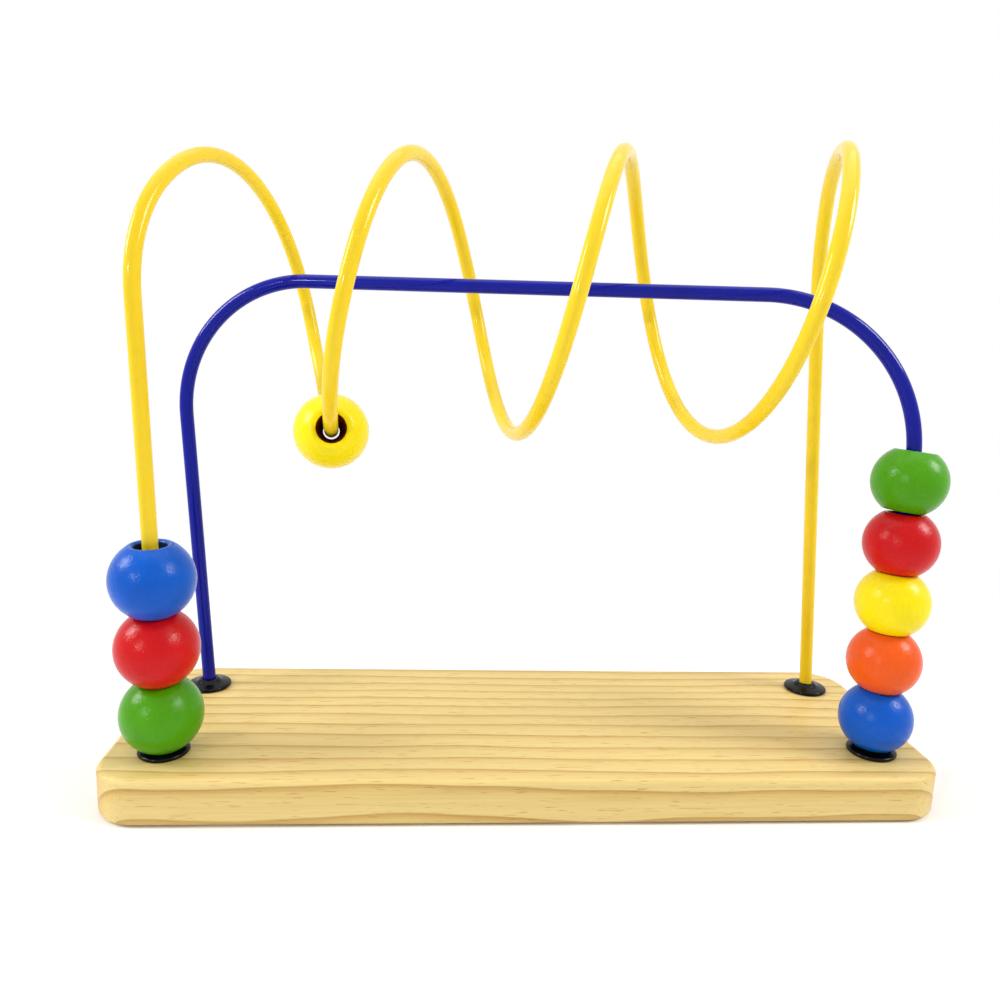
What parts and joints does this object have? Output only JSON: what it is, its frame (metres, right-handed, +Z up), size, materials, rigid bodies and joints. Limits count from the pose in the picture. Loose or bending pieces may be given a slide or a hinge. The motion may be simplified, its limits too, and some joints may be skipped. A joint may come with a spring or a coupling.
{
  "type": "bead maze",
  "caption": "Wooden base board with a coated wire arch and a second coated wire that coils round the arch's top bar; painted wooden beads with large holes run along both wires.",
  "frame": {"origin": "middle of the board's underside", "axes": "+X along the board to the viewer's right, +Y to the back, +Z up"},
  "size_m": [0.288, 0.1208, 0.223],
  "materials": {
    "pine": "sanded and clear lacquered pine",
    "yellow_coat": "gloss coat on steel wire",
    "blue_coat": "gloss coat on steel wire",
    "black_plastic": "gloss",
    "zinc_steel": "zinc plated",
    "green_paint": "semi-gloss paint on wood",
    "red_paint": "semi-gloss paint on wood",
    "blue_paint": "semi-gloss paint on wood",
    "lemon_paint": "semi-gloss paint on wood",
    "orange_paint": "semi-gloss paint on wood"
  },
  "bodies": {
    "stand": {"base_board": "pine", "yellow_wire": "yellow_coat", "blue_wire": "blue_coat", "front_left_grommet": "black_plastic", "front_right_grommet": "black_plastic", "back_left_grommet": "black_plastic", "back_right_grommet": "black_plastic", "foot_washers": "zinc_steel", "foot_nuts": "zinc_steel"},
    "left_green": {"left_bead_green": "green_paint"},
    "left_red": {"left_bead_red": "red_paint"},
    "left_blue": {"left_bead_blue": "blue_paint"},
    "coil_yellow": {"coil_bead_yellow": "lemon_paint"},
    "right_blue": {"right_bead_blue": "blue_paint"},
    "right_orange": {"right_bead_orange": "orange_paint"},
    "right_yellow": {"right_bead_yellow": "lemon_paint"},
    "right_red": {"right_bead_red": "red_paint"},
    "right_green": {"right_bead_green": "green_paint"}
  },
  "joints": [
    {"name": "left_green_slide", "type": "slide", "parent": "stand", "child": "left_green", "axis": [-0.0068, -0.0513, 0.9987], "range_m": [0, 0.025]},
    {"name": "left_red_slide", "type": "slide", "parent": "left_green", "child": "left_red", "axis": [-0.0068, -0.0513, 0.9987], "range_m": [0, 0.025]},
    {"name": "left_blue_slide", "type": "slide", "parent": "left_red", "child": "left_blue", "axis": [-0.0068, -0.0513, 0.9987], "range_m": [0, 0.025]},
    {"name": "coil_yellow_ride", "type": "hinge", "parent": "stand", "child": "coil_yellow", "pos_m": [-0.07766, 0.00328, 0.17283], "axis": [0.9834, 0.1491, 0.1032], "range_deg": [-32, 36]},
    {"name": "right_blue_spin", "type": "hinge", "parent": "stand", "child": "right_blue", "pos_m": [0.12477, -0.0271, 0.0292], "axis": [0.045, 0.0483, 0.9978], "continuous": true},
    {"name": "right_orange_spin", "type": "hinge", "parent": "stand", "child": "right_orange", "pos_m": [0.12573, -0.02607, 0.05043], "axis": [0.045, 0.0483, 0.9978], "continuous": true},
    {"name": "right_yellow_spin", "type": "hinge", "parent": "stand", "child": "right_yellow", "pos_m": [0.12669, -0.02505, 0.07166], "axis": [0.045, 0.0483, 0.9978], "continuous": true},
    {"name": "right_red_spin", "type": "hinge", "parent": "stand", "child": "right_red", "pos_m": [0.12765, -0.02402, 0.09289], "axis": [0.045, 0.0483, 0.9978], "continuous": true},
    {"name": "right_green_ride", "type": "hinge", "parent": "stand", "child": "right_green", "pos_m": [0.07669, -0.01249, 0.12275], "axis": [-0.1887, -0.9804, 0.0559], "range_deg": [0, 80]}
  ]
}
